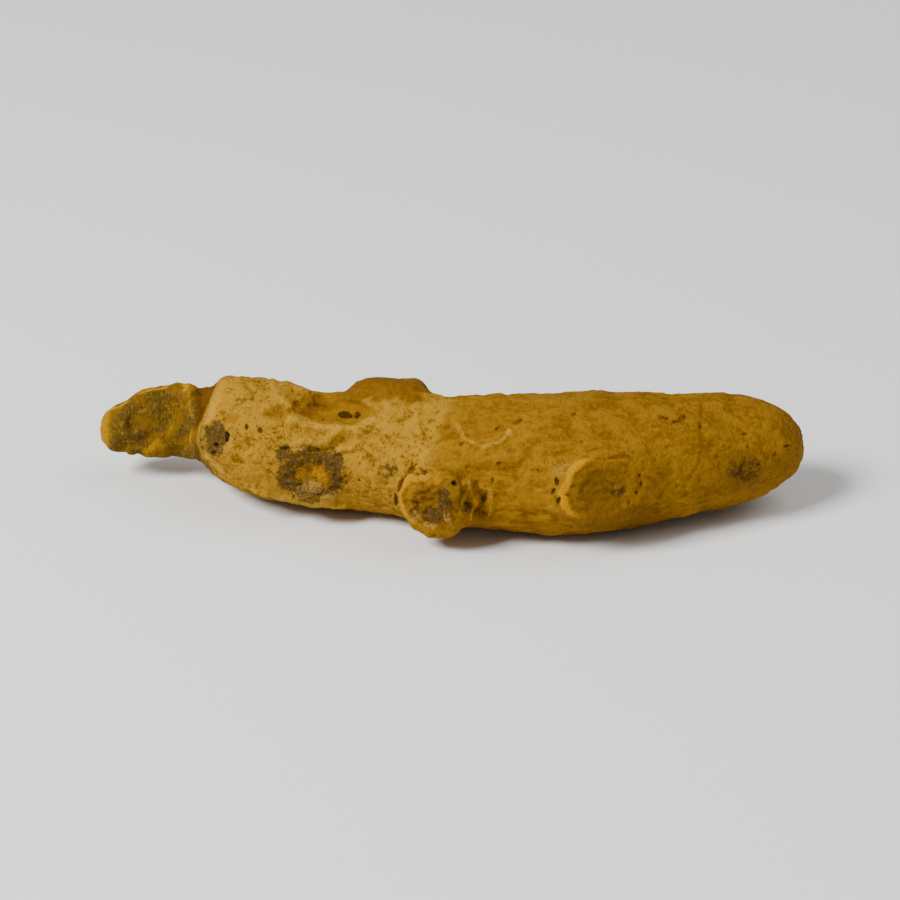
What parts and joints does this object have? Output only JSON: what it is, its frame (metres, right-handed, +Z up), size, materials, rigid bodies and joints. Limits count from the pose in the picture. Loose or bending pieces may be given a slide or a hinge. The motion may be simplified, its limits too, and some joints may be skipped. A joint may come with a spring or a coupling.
{
  "type": "turmeric root",
  "caption": "Dried turmeric root: a stout, slightly bowed finger with a broken stub at its head, and knobs and round scars along it.",
  "frame": {"origin": "on the surface that the root lies on, under the middle of its bounding box", "axes": "+X along the finger from its broken stub to its smooth tip, +Y to the back of the picture's view, +Z up"},
  "size_m": [0.0856, 0.0258, 0.0168],
  "materials": {
    "turmeric_skin": "dry, dusty and wrinkled mustard-yellow skin, matte"
  },
  "bodies": {
    "root": {"turmeric_root": "turmeric_skin"}
  },
  "joints": []
}
